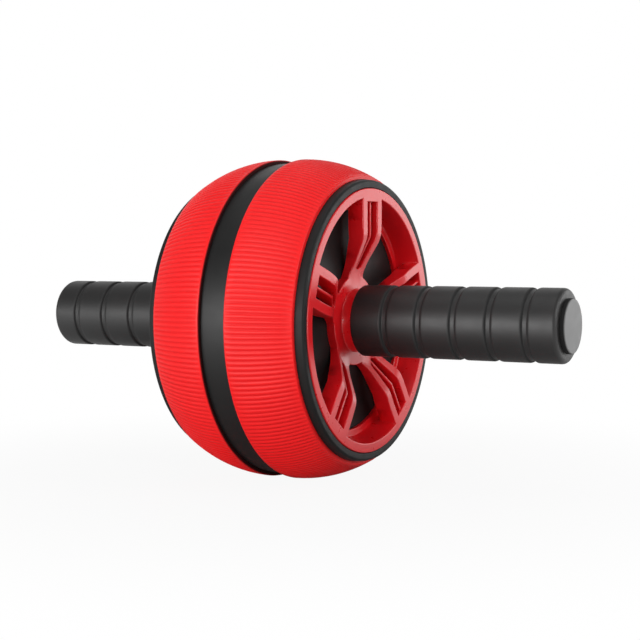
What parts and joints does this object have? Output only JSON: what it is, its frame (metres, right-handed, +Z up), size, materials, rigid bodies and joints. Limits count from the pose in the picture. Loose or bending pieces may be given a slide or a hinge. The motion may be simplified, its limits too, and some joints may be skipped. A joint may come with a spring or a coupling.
{
  "type": "ab wheel roller",
  "caption": "Ab wheel roller: a wide rubber-treaded wheel with spoked side covers that spins on a straight axle with a grooved grip at each end.",
  "frame": {"origin": "centre of the wheel, on the axle's axis", "axes": "+X along the axle towards the right grip, +Y the rolling direction, +Z up"},
  "size_m": [0.3, 0.1652, 0.1652],
  "materials": {
    "tread_rubber": "satin red rubber with fine cross ribs",
    "cover_plastic": "moulded red plastic, satin gloss",
    "drum_plastic": "moulded black plastic, satin",
    "band_plastic": "smooth black plastic",
    "grip_rubber": "dark grey moulded rubber, satin",
    "cap_plastic": "mid grey moulded plastic",
    "axle_steel": "drawn steel",
    "spring_steel": "blackened spring steel",
    "bearing_steel": "ground bearing steel",
    "shield_steel": "pressed sheet steel",
    "cage_nylon": "natural nylon",
    "screw_steel": "zinc plated steel"
  },
  "bodies": {
    "axle": {"axle_tube": "axle_steel", "bearing_spacer": "axle_steel", "left_grip": "grip_rubber", "right_grip": "grip_rubber", "left_end_cap": "cap_plastic", "right_end_cap": "cap_plastic", "left_retaining_ring": "spring_steel", "right_retaining_ring": "spring_steel", "left_thrust_washer": "axle_steel", "right_thrust_washer": "axle_steel", "left_bearing_inner_ring": "bearing_steel", "right_bearing_inner_ring": "bearing_steel"},
    "wheel": {"centre_band": "band_plastic", "drum_screws": "screw_steel", "left_drum": "drum_plastic", "right_drum": "drum_plastic", "left_tread": "tread_rubber", "right_tread": "tread_rubber", "left_spoke_cover": "cover_plastic", "right_spoke_cover": "cover_plastic", "left_bearing_outer_ring": "bearing_steel", "right_bearing_outer_ring": "bearing_steel", "left_bearing_shields": "shield_steel", "right_bearing_shields": "shield_steel"},
    "left_ball_set": {"left_bearing_balls": "bearing_steel", "left_bearing_cage": "cage_nylon"},
    "right_ball_set": {"right_bearing_balls": "bearing_steel", "right_bearing_cage": "cage_nylon"}
  },
  "joints": [
    {"name": "wheel_spin", "type": "hinge", "parent": "axle", "child": "wheel", "pos_m": [0, 0, 0], "axis": [1, 0, 0], "continuous": true},
    {"name": "left_balls_roll", "type": "hinge", "parent": "axle", "child": "left_ball_set", "pos_m": [-0.02559, 0, 0], "axis": [1, 0, 0], "continuous": true},
    {"name": "right_balls_roll", "type": "hinge", "parent": "axle", "child": "right_ball_set", "pos_m": [0.02559, 0, 0], "axis": [1, 0, 0], "continuous": true}
  ],
  "couplings": [
    {"joint": "left_balls_roll", "follows": "wheel_spin", "ratio": 0.57485},
    {"joint": "right_balls_roll", "follows": "wheel_spin", "ratio": 0.57485}
  ]
}
